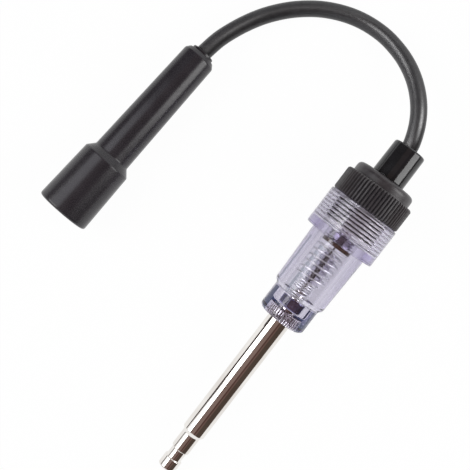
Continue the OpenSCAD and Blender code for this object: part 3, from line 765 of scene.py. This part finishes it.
def white_paper(colours):
    """Matt white paper floor: plain white to the eye, with a trace of the object's shadow."""
    material = bpy.data.materials.new("white_paper")
    material.use_nodes = True
    tree = material.node_tree
    tree.nodes.remove(tree.nodes["Principled BSDF"])
    paper = add(tree, "ShaderNodeBsdfDiffuse", {"Color": colours.floor})
    glow = add(tree, "ShaderNodeEmission", {"Color": WHITE, "Strength": 1})
    share = seen(tree, FLOOR_GLOW, FLOOR_GLOW_MIRRORED, FLOOR_GLOW_THROUGH)
    mix = add(tree, "ShaderNodeMixShader", {}, {0: share, 1: paper.outputs[0], 2: glow.outputs[0]})
    tree.links.new(mix.outputs[0], tree.nodes["Material Output"].inputs["Surface"])
    return material


def studio_card(name, hex_colour, level=1):
    """Evenly lit studio card."""
    material = bpy.data.materials.new(name)
    material.use_nodes = True
    tree = material.node_tree
    tree.nodes.remove(tree.nodes["Principled BSDF"])
    glow = add(tree, "ShaderNodeEmission", {"Color": linear(hex_colour), "Strength": level})
    tree.links.new(glow.outputs[0], tree.nodes["Material Output"].inputs["Surface"])
    return material


class SPARKTESTER_OT_stage(PieceOperator, bpy.types.Operator):
    """Camera above the tester, pale floor, softboxes, and cards for the bright pieces to mirror"""
    bl_idname = "sparktester.stage"
    bl_label = "Studio"

    def execute(self, context):
        settings = context.scene.tester_stage
        self.camera(context, settings)
        self.floor(context.scene.tester_colours, settings)
        self.world(context)
        for light in SOFTBOXES:
            self.softbox(**light)
        for name, first, last, hex_colour in CEILING:
            rows = [(side, -CEILING_X, CEILING_X) for side in (first, last)]
            self.card(name, *rows, CEILING_AT, hex_colour)
        for card in CARDS:
            self.card(**card)
        for strip in SHADES:
            self.shade(**strip)
        context.scene.view_settings.view_transform = "Standard"
        return {"FINISHED"}

    def camera(self, context, settings):
        data = bpy.data.cameras.new("camera")
        data.lens = settings.lens
        data.sensor_width = SENSOR_W
        data.clip_start = CLIP_START
        camera = bpy.data.objects.new("camera", data)
        camera.location = (settings.camera_x, settings.camera_y, settings.camera_h)
        camera.rotation_euler = (0, 0, settings.camera_roll)
        context.scene.collection.objects.link(camera)
        context.scene.camera = camera

    def floor(self, colours, settings):
        half = settings.floor_w / 2
        verts = [(x, y, FLOOR_AT) for x, y in ((-half, -half), (half, -half), (half, half), (-half, half))]
        floor = sheet("floor", verts, [[0, 1, 2, 3]], white_paper(colours))

    def world(self, context):
        world = bpy.data.worlds.new("studio")
        world.use_nodes = True
        tree = world.node_tree
        levels = {"To Min": FILL, "To Max": 1}
        level = add(tree, "ShaderNodeMapRange", levels, {"Value": seen(tree, 1, 1, 1)})
        tree.links.new(level.outputs["Result"], tree.nodes["Background"].inputs["Strength"])
        tree.nodes["Background"].inputs["Color"].default_value = WHITE
        context.scene.world = world

    def softbox(self, name, x, side, distance, width, height, radiance, diffuse=True):
        data = bpy.data.lights.new(name, "AREA")
        data.shape = "RECTANGLE"
        data.size = width
        data.size_y = height
        data.energy = radiance * math.pi * width * height
        light = bpy.data.objects.new(name, data)
        light.location = around(x, side, distance)
        light.rotation_euler = (-math.radians(side), 0, 0)
        light.visible_diffuse = diffuse
        bpy.context.scene.collection.objects.link(light)

    def card(self, name, first, last, distance, hex_colour, level=1, through=True):
        verts = []
        for step in range(CARD_STEPS + 1):
            side, x0, x1 = [a + (b - a) * step / CARD_STEPS for a, b in zip(first, last)]
            verts += [around(x0, side, distance), around(x1, side, distance)]
        faces = [[i, i + 1, i + 3, i + 2] for i in range(0, 2 * CARD_STEPS, 2)]
        card = sheet(name, verts, faces, studio_card(name, hex_colour, level))
        card.visible_transmission = through
        self.mirrored_only(card)

    def shade(self, name, stations, sides, hex_colour):
        low, top = [to_floor(TESTER @ Vector((0, 0, station * MM))) for station in stations]
        left, right = [(top - low).normalized().cross(Vector((0, 0, -1))) * side * MM for side in sides]
        verts = [low + left, low + right, top + right, top + left]
        self.mirrored_only(sheet(name, verts, [[0, 1, 2, 3]], studio_card(name, hex_colour)))

    def mirrored_only(self, card):
        card.visible_camera = False
        card.visible_diffuse = False
        card.visible_shadow = False


# Lights of the stage that reach the lead alone, or all but the lead
LEAD_LIGHTS = [
    ("lead_inner_softbox", "INCLUDE"),
    ("lead_outer_softbox", "INCLUDE"),
    ("cap_side_softbox", "EXCLUDE"),
]
# Route of the lead on the floor: place and height of its underside, in millimetres
LEAD_LAY = [
    (64.6, -36.3, 13.4), (67.7, -35.6, 13.4), (71.8, -34.1, 12.8), (75.9, -32.0, 11.6),
    (79.8, -29.3, 9.9), (83.4, -26.0, 7.9), (86.4, -22.3, 5.9), (88.8, -18.2, 4.1),
    (90.5, -13.9, 2.5), (91.6, -9.4, 1.3), (91.9, -4.7, 0.5), (91.5, 0, 0.1),
    (90.4, 4.5, 0.05), (88.7, 8.9, 0.05), (86.5, 13.1, 0.05), (83.8, 17.0, 0.05),
    (80.6, 20.7, 0.1), (77.0, 24.0, 0.3), (72.8, 27.1, 0.7), (68.1, 29.7, 1.5),
    (63.0, 31.9, 2.5), (57.4, 33.7, 3.6),
]


def smooth(points, steps):
    """Smooth curve through points, with that many steps from one to the next."""
    path = []
    for i in range(len(points) - 1):
        p0, p1, p2, p3 = [points[min(max(i + k, 0), len(points) - 1)] for k in (-1, 0, 1, 2)]
        for step in range(steps):
            t = step / steps
            ahead, behind = (p2 - p0) / 2, (p3 - p1) / 2
            path.append(
                p1 * (2 * t**3 - 3 * t**2 + 1) + ahead * (t**3 - 2 * t**2 + t)
                + p2 * (3 * t**2 - 2 * t**3) + behind * (t**3 - t**2)
            )
    return path + [points[-1]]


class SPARKTESTER_OT_lead(PieceOperator, bpy.types.Operator):
    """Free run of the lead, from the sleeve to the boot"""
    bl_idname = "sparktester.lead"
    bl_label = "Lead"

    def execute(self, context):
        sizes = context.scene.tester_lead
        exit_point = TESTER @ Vector((0, 0, span("cap_lead_end", TESTER)[1]))
        end_point = BOOT @ Vector((0, 0, span("boot_lead_end", BOOT)[1]))
        lying = [Vector((x, y, z)) * MM + Vector((0, 0, sizes.lead_d / 2)) for x, y, z in LEAD_LAY]
        path = smooth([exit_point] + lying + [end_point], sizes.steps)
        lead = swept("lead_run", path, sizes.lead_d / 2, sizes.sides)
        place_on(lead, "cap", "lead_jacket", satin_lead_jacket(context.scene.tester_colours), "lead")
        for light, state in LEAD_LIGHTS:
            receivers = bpy.data.collections.new(light + "_receivers")
            receivers.objects.link(lead)
            receivers.collection_objects[0].light_linking.link_state = state
            bpy.data.objects[light].light_linking.receiver_collection = receivers
        return {"FINISHED"}


class SPARKTESTER_OT_rod(PieceOperator, bpy.types.Operator):
    """Terminal rod: head, groove, neck, rod, ribbed seat and stud"""
    bl_idname = "sparktester.rod"
    bl_label = "Terminal rod"

    def execute(self, context):
        sizes = context.scene.tester_rod
        groove_at = sizes.head_l
        neck_at = groove_at + sizes.groove_l
        rod_at = neck_at + sizes.neck_l
        socket_at = span("clear_housing", TESTER)[0]
        seat_at = socket_at + sizes.seat_in
        seat_to = socket_at + sizes.seat_l
        stud_to = span("terminal_rod", TESTER)[1]
        knurl = ribs(sizes.seat_d / 2, sizes.seat_groove, sizes.seat_ribs, SEAT_CROWN)

        def section(angle, station, radius):
            on_seat = station > socket_at and radius < sizes.rod_d / 2 - TINY
            return knurl(angle, station, radius) if on_seat else radius

        corners = [
            (0, 0, 0),
            (0, sizes.head_d / 2, sizes.nose),
            (groove_at, sizes.head_d / 2, sizes.edge),
            (groove_at, sizes.groove_d / 2, sizes.edge),
            (neck_at, sizes.groove_d / 2, sizes.edge),
            (neck_at, sizes.neck_d / 2, sizes.edge),
            (rod_at, sizes.neck_d / 2, sizes.edge),
            (rod_at + sizes.step_l, sizes.rod_d / 2, sizes.edge),
            (seat_at, sizes.rod_d / 2, 0),
            (seat_at, sizes.seat_d / 2, 0),
            (seat_to, sizes.seat_d / 2, 0),
            (seat_to, sizes.stud_d / 2, 0),
            (stud_to, sizes.stud_d / 2, sizes.edge),
            (stud_to, 0, 0),
        ]
        rod = turned("bright_rod", corners, TESTER, sizes.seat_ribs * SEAT_RIB_FACES, section, closed=False)
        colours = context.scene.tester_colours
        place_on(rod, "housing", "chrome_plate", polished_chrome_plate(colours), "terminal_rod")
        stations = (seat_at - HOLD, seat_to + HOLD)
        crest, root = sizes.seat_d / 2, sizes.seat_d / 2 - sizes.seat_groove
        refinish(rod, TESTER, satin_chrome_knurl(colours), stations, (sizes.stud_d / 2, crest))
        # Painted shade in the roots between the knurl's ribs
        refinish(rod, TESTER, painted_shade_knurl_roots(colours), stations, (root - HOLD, (crest + root) / 2))
        return {"FINISHED"}


# One turn of a thread: shares of the pitch, and whether the outline is at the outer radius there. The
# housing gets flat crests and sharp roots from it, and the spigot flat roots and sharp crests.
THREAD_FORM = [(0.21, False), (0.5, True), (0.79, False)]
# Share of the pitch by which the lowest crest stands off the end of the thread
THREAD_START = 0.2
# Ease at the foot of the nut's pocket, as a multiple of the other moulded edges'
POCKET_EASE = 1.6


class SPARKTESTER_OT_housing(PieceOperator, bpy.types.Operator):
    """Clear housing: socket, tapered barrel and threaded collar"""
    bl_idname = "sparktester.housing"
    bl_label = "Clear housing"

    def execute(self, context):
        sizes = context.scene.tester_housing
        rod = context.scene.tester_rod
        low, top = span("clear_housing", TESTER)
        barrel_at = low + sizes.socket_l
        collar_at = span("contact_stem", TESTER)[0]
        thread_at = collar_at + sizes.rim_l
        web_at = low + rod.seat_l
        nut_at = web_at + sizes.web_t
        ease = sizes.moulded
        seat_r = rod.rod_d / 2 + sizes.seat_room
        stud_r = rod.stud_d / 2 - sizes.grip_in
        crest, root = sizes.thread_d / 2, sizes.thread_d / 2 + sizes.thread_depth
        corners = [
            (low, seat_r, 0),
            (low, sizes.socket_d / 2 - sizes.chamfer, ease),
            (low + sizes.chamfer, sizes.socket_d / 2, ease),
            (barrel_at, sizes.socket_d / 2, ease),
            (barrel_at + sizes.slope_l, sizes.barrel_low_d / 2, ease),
            (collar_at, sizes.barrel_top_d / 2, ease / 2),
            (collar_at, sizes.collar_d / 2, ease),
            (top, sizes.collar_d / 2, ease),
            (top, crest, ease / 2),
        ]
        pitch = sizes.thread_pitch
        first = thread_at + (sizes.thread_turns + THREAD_START) * pitch
        for i in range(sizes.thread_turns):
            for share, outer in THREAD_FORM:
                corners.append((first - (i + share) * pitch, root if outer else crest, 0))
        corners += [
            (thread_at, crest, 0),
            (thread_at, sizes.bore_d / 2, ease / 2),
            (barrel_at, sizes.bore_d / 2, ease / 2),
            (barrel_at, sizes.pocket_d / 2, ease / 2),
            (nut_at, sizes.pocket_d / 2, POCKET_EASE * ease),
            (nut_at, stud_r, 0),
            (web_at, stud_r, 0),
            (web_at, seat_r, ease),
        ]
        pressed = ribs(seat_r, sizes.seat_rib, rod.seat_ribs, SEAT_CROWN)

        def section(angle, station, radius):
            return pressed(angle, station, radius) if abs(radius - seat_r) < TINY else radius

        housing = turned("clear_moulding", corners, TESTER, rod.seat_ribs * SEAT_RIB_FACES, section)
        colours = context.scene.tester_colours
        place_on(housing, "housing", "clear_plastic", clear_polystyrene(colours), "clear_housing")
        flanks = (crest + HOLD, root - HOLD)
        refinish(housing, TESTER, moulded_thread(colours), (thread_at, first), flanks)
        grooves = (seat_r - sizes.seat_rib - HOLD, seat_r + HOLD)
        refinish(housing, TESTER, pressed_seat(colours), (low, web_at), grooves)
        # Clear plastic lets the light through to what it holds
        housing.visible_shadow = False
        return {"FINISHED"}


NUT_SEGMENTS = 72


class SPARKTESTER_OT_nut(PieceOperator, bpy.types.Operator):
    """Hexagon nut on the rod's stud"""
    bl_idname = "sparktester.nut"
    bl_label = "Nut"

    def execute(self, context):
        sizes = context.scene.tester_nut
        bore = context.scene.tester_rod.stud_d / 2
        low, top = span("rod_nut", TESTER)
        corner = sizes.across / 2 / math.cos(math.pi / 6)
        corners = [
            (low, bore, 0),
            (low, corner - sizes.chamfer, 0),
            (low + sizes.chamfer / 2, corner, 0),
            (top - sizes.chamfer / 2, corner, 0),
            (top, corner - sizes.chamfer, 0),
            (top, bore, 0),
        ]
        place = TESTER @ Matrix.Rotation(-sizes.turned_by, 4, "Z")
        nut = turned("hex_nut", corners, place, NUT_SEGMENTS, flats(sizes.across))
        zinc = blue_passivated_zinc(context.scene.tester_colours)
        place_on(nut, "housing", "plated_steel", zinc, "rod_nut")
        return {"FINISHED"}


# Share of a curl by which the spring starts to widen before its narrow curls end
WIDEN_EARLY = 0.5


class SPARKTESTER_OT_spring(PieceOperator, bpy.types.Operator):
    """Stepped spring: narrow curls on the nut, wide curls round the lamp"""
    bl_idname = "sparktester.spring"
    bl_label = "Spring"

    def execute(self, context):
        sizes = context.scene.tester_spring
        low, top = span("lamp_spring", TESTER)
        low, top = low + sizes.wire_d, top - sizes.wire_d
        curls = sizes.narrow_curls + sizes.wide_curls
        narrow_l = sizes.stud_pitch + (sizes.narrow_curls - 1) * sizes.narrow_pitch
        wide_pitch = (top - low - narrow_l) / sizes.wide_curls

        def curl(t):
            step = min(max(t - sizes.narrow_curls + WIDEN_EARLY, 0), 1)
            grown = (sizes.wide_d - sizes.narrow_d) / 2 * step * step * (3 - 2 * step)
            radius = (sizes.narrow_d - sizes.wire_d) / 2 + grown
            wide = max(t - sizes.narrow_curls, 0)
            narrow = min(max(t - 1, 0), sizes.narrow_curls - 1)
            station = low + min(t, 1) * sizes.stud_pitch + narrow * sizes.narrow_pitch + wide * wide_pitch
            angle = 2 * math.pi * t + sizes.first_end
            x, y = radius * math.cos(angle), radius * math.sin(angle) + sizes.lean
            return TESTER @ Vector((x, y, station))

        path = [curl(i / sizes.curl_steps) for i in range(curls * sizes.curl_steps + 1)]
        spring = swept("wire_spring", path, sizes.wire_d / 2, sizes.wire_sides)
        wire = bright_spring_wire(context.scene.tester_colours)
        place_on(spring, "lamp", "spring_steel", wire, "lamp_spring")
        return {"FINISHED"}


class SPARKTESTER_OT_lamp(PieceOperator, bpy.types.Operator):
    """Lamp glass, its two electrodes and the fibre washer above them"""
    bl_idname = "sparktester.lamp"
    bl_label = "Lamp and washer"

    def execute(self, context):
        colours = context.scene.tester_colours
        dress(filmed_lamp_glass(colours), "lamp_glass")
        dress(dull_nickel(colours), "upper_electrode", "lower_electrode")
        dress(vulcanised_fibre(colours), "fibre_washer")
        return {"FINISHED"}


# Gap between the cap and what it meets, and its small roundings
GRIP_GAP = 0.05 * MM
CAP_EDGE = 0.2 * MM
RIB_EDGE = 0.1 * MM
# Share of the pitch from the spigot's end to its first ridge
SPIGOT_START = 0.5


class SPARKTESTER_OT_cap(PieceOperator, bpy.types.Operator):
    """Knurled cap: threaded spigot, ribbed grip and round shoulder"""
    bl_idname = "sparktester.cap"
    bl_label = "Knurled cap"

    def execute(self, context):
        sizes = context.scene.tester_cap
        thread = context.scene.tester_housing
        low, top = span("knurled_cap", TESTER)
        grip_at = span("clear_housing", TESTER)[1] + GRIP_GAP
        shoulder_at = grip_at + sizes.grip_l
        stem_top = span("contact_stem", TESTER)[1]
        tail_at = span("strain_relief", TESTER)[0]
        crest, root = sizes.spigot_d / 2, sizes.spigot_d / 2 - thread.thread_depth
        pitch = thread.thread_pitch
        corners = [(low, sizes.stem_bore_d / 2, 0), (low, root, CAP_EDGE)]
        turns = int((grip_at - low) / pitch) - 1
        for i in range(turns):
            for share, outer in THREAD_FORM:
                corners.append((low + (SPIGOT_START + i + share) * pitch, crest if outer else root, 0))
        corners += [
            (grip_at, root, CAP_EDGE),
            (grip_at, sizes.grip_d / 2 - sizes.grip_end, RIB_EDGE),
            (grip_at + sizes.grip_end, sizes.grip_d / 2, CAP_EDGE),
            (shoulder_at - sizes.grip_end, sizes.grip_d / 2, CAP_EDGE),
            (shoulder_at, sizes.grip_d / 2 - sizes.grip_end, RIB_EDGE),
            (shoulder_at, sizes.shoulder_d / 2, CAP_EDGE),
            (top, sizes.shoulder_d / 2, sizes.shoulder_round),
            (top, sizes.tail_bore_d / 2, CAP_EDGE),
            (tail_at - GRIP_GAP, sizes.tail_bore_d / 2, 0),
            (tail_at - GRIP_GAP, sizes.lead_bore_d / 2, 0),
            (stem_top + GRIP_GAP, sizes.lead_bore_d / 2, 0),
            (stem_top + GRIP_GAP, sizes.stem_bore_d / 2, 0),
        ]
        knurl = ribs(sizes.grip_d / 2, sizes.grip_groove, sizes.grip_ribs, GRIP_CROWN)
        cap = turned("ribbed_cap", corners, TESTER, sizes.grip_ribs * GRIP_RIB_FACES, knurl)
        colours = context.scene.tester_colours
        place_on(cap, "cap", "black_phenolic", satin_phenolic(colours), "knurled_cap")
        # Painted shade on the spigot inside the collar, with no sheen
        refinish(cap, TESTER, dull_phenolic_thread(colours), (low - HOLD, grip_at), (0, crest + HOLD))
        dress(nickel_plated_brass(colours), "contact_stem")
        return {"FINISHED"}


# Roundings of the sleeve's foot and of the inner edge of its mouth
FOOT_EDGE = 0.3 * MM
BELL_EDGE = 0.5 * MM


class SPARKTESTER_OT_sleeve(PieceOperator, bpy.types.Operator):
    """Glossy sleeve with a bell mouth round the lead"""
    bl_idname = "sparktester.sleeve"
    bl_label = "Sleeve"

    def execute(self, context):
        sizes = context.scene.tester_sleeve
        bore = context.scene.tester_cap.lead_bore_d / 2
        low, top = span("strain_relief", TESTER)
        foot = low + sizes.tail_l
        corners = [
            (low, bore, 0),
            (low, sizes.tail_d / 2, 0),
            (foot, sizes.tail_d / 2, 0),
            (foot, sizes.low_d / 2, FOOT_EDGE),
            (top, sizes.top_d / 2, sizes.mouth_round),
            (top, sizes.mouth_d / 2, BELL_EDGE),
            (top - sizes.mouth_l, bore, 0),
        ]
        sleeve = turned("gloss_sleeve", corners, TESTER)
        vinyl = gloss_vinyl(context.scene.tester_colours)
        place_on(sleeve, "cap", "gloss_black_vinyl", vinyl, "strain_relief")
        return {"FINISHED"}


BOOT_SEGMENTS = 128
# Roundings of the boot's bore and tip, and of the bush's flange from below upwards
BORE_EDGE = 0.5 * MM
TIP_EDGE = 0.2 * MM
FLANGE_EDGES = (0.15 * MM, 0.25 * MM, 0.1 * MM)
# Room round the bush and under its flange
BUSH_ROOM = 0.02 * MM
FLANGE_ROOM = 0.05 * MM


class SPARKTESTER_OT_boot(PieceOperator, bpy.types.Operator):
    """Plug boot with its skirt, slope and neck, and the bush in its end"""
    bl_idname = "sparktester.boot"
    bl_label = "Plug boot"

    def execute(self, context):
        sizes = context.scene.tester_boot
        rubber = satin_moulded_rubber(context.scene.tester_colours)
        low, tip = span("boot_shell", BOOT)
        neck_at = low + sizes.skirt_l + sizes.slope_l
        neck_to = neck_at + sizes.neck_l
        bush_at, bush_to = span("boot_bush", BOOT)
        clip_to = sizes.plug_bore_l + sizes.clip_bore_l
        corners = [
            (low, sizes.plug_bore_d / 2, BORE_EDGE),
            (low, sizes.skirt_d / 2, sizes.rim),
            (low + sizes.skirt_l, sizes.skirt_top_d / 2, sizes.soft),
            (neck_at, sizes.neck_d / 2, sizes.soft),
            (neck_to, sizes.neck_end_d / 2, sizes.soft),
            (tip, sizes.tip_d / 2, TIP_EDGE),
            (tip, sizes.bush_d / 2, 0),
            (bush_at, sizes.bush_d / 2, 0),
            (bush_at, sizes.lead_bore_d / 2, 0),
            (clip_to, sizes.lead_bore_d / 2, 0),
            (clip_to, sizes.clip_bore_d / 2, 0),
            (sizes.plug_bore_l, sizes.clip_bore_d / 2, 0),
            (sizes.plug_bore_l, sizes.plug_bore_d / 2, 0),
        ]
        boot = turned("rubber_boot", corners, BOOT, BOOT_SEGMENTS)
        place_on(boot, "cap", "black_rubber", rubber, "boot_shell")
        flange = tip + FLANGE_ROOM
        under, outer, inner = FLANGE_EDGES
        corners = [
            (bush_at, sizes.lead_bore_d / 2, 0),
            (bush_at, sizes.bush_d / 2 - BUSH_ROOM, 0),
            (flange, sizes.bush_d / 2 - BUSH_ROOM, 0),
            (flange, sizes.bush_flange_d / 2, under),
            (bush_to, sizes.bush_flange_d / 2, outer),
            (bush_to, sizes.lead_bore_d / 2, inner),
        ]
        bush = turned("lead_bush", corners, BOOT)
        place_on(bush, "cap", "black_rubber", rubber, "boot_bush")
        return {"FINISHED"}


class SPARKTESTER_OT_inner(PieceOperator, bpy.types.Operator):
    """Clip, snap ring, conductors and clamped lead ends inside the boot and the cap"""
    bl_idname = "sparktester.inner"
    bl_label = "Inner metalwork"

    def execute(self, context):
        colours = context.scene.tester_colours
        dress(zinc_plated_strip(colours), "boot_clip")
        dress(bright_spring_wire(colours), "snap_ring")
        dress(tinned_copper(colours), "cap_core", "boot_core")
        dress(satin_lead_jacket(colours), "cap_lead_end", "boot_lead_end")
        return {"FINISHED"}


# Add-on

SETTINGS = {
    "tester_colours": TesterColours,
    "tester_rod": RodSizes,
    "tester_housing": HousingSizes,
    "tester_nut": NutSizes,
    "tester_spring": SpringSizes,
    "tester_cap": CapSizes,
    "tester_sleeve": SleeveSizes,
    "tester_lead": LeadSizes,
    "tester_boot": BootSizes,
    "tester_stage": StageSettings,
}
OPERATORS = [
    SPARKTESTER_OT_stage,
    SPARKTESTER_OT_lead,
    SPARKTESTER_OT_rod,
    SPARKTESTER_OT_housing,
    SPARKTESTER_OT_nut,
    SPARKTESTER_OT_spring,
    SPARKTESTER_OT_lamp,
    SPARKTESTER_OT_cap,
    SPARKTESTER_OT_sleeve,
    SPARKTESTER_OT_boot,
    SPARKTESTER_OT_inner,
]


class SPARKTESTER_PT_panel(bpy.types.Panel):
    """Lists the pieces of the tester and their sizes"""
    bl_label = "Spark tester"
    bl_idname = "SPARKTESTER_PT_panel"
    bl_space_type = "VIEW_3D"
    bl_region_type = "UI"
    bl_category = "Spark tester"

    def draw(self, context):
        for operator in OPERATORS:
            self.layout.operator(operator.bl_idname)
        for name in SETTINGS:
            group = getattr(context.scene, name)
            box = self.layout.box()
            box.label(text=name.replace("_", " "))
            for setting in group.__annotations__:
                box.prop(group, setting)


def register():
    for name, group in SETTINGS.items():
        bpy.utils.register_class(group)
        setattr(bpy.types.Scene, name, PointerProperty(type=group))
    for operator in OPERATORS:
        bpy.utils.register_class(operator)
    bpy.utils.register_class(SPARKTESTER_PT_panel)


def unregister():
    bpy.utils.unregister_class(SPARKTESTER_PT_panel)
    for operator in reversed(OPERATORS):
        bpy.utils.unregister_class(operator)
    for name, group in reversed(SETTINGS.items()):
        delattr(bpy.types.Scene, name)
        bpy.utils.unregister_class(group)


def main():
    register()
    bpy.ops.sparktester.stage()
    bpy.ops.sparktester.lead()
    bpy.ops.sparktester.rod()
    bpy.ops.sparktester.housing()
    bpy.ops.sparktester.nut()
    bpy.ops.sparktester.spring()
    bpy.ops.sparktester.lamp()
    bpy.ops.sparktester.cap()
    bpy.ops.sparktester.sleeve()
    bpy.ops.sparktester.boot()
    bpy.ops.sparktester.inner()


if __name__ == "__main__":
    main()
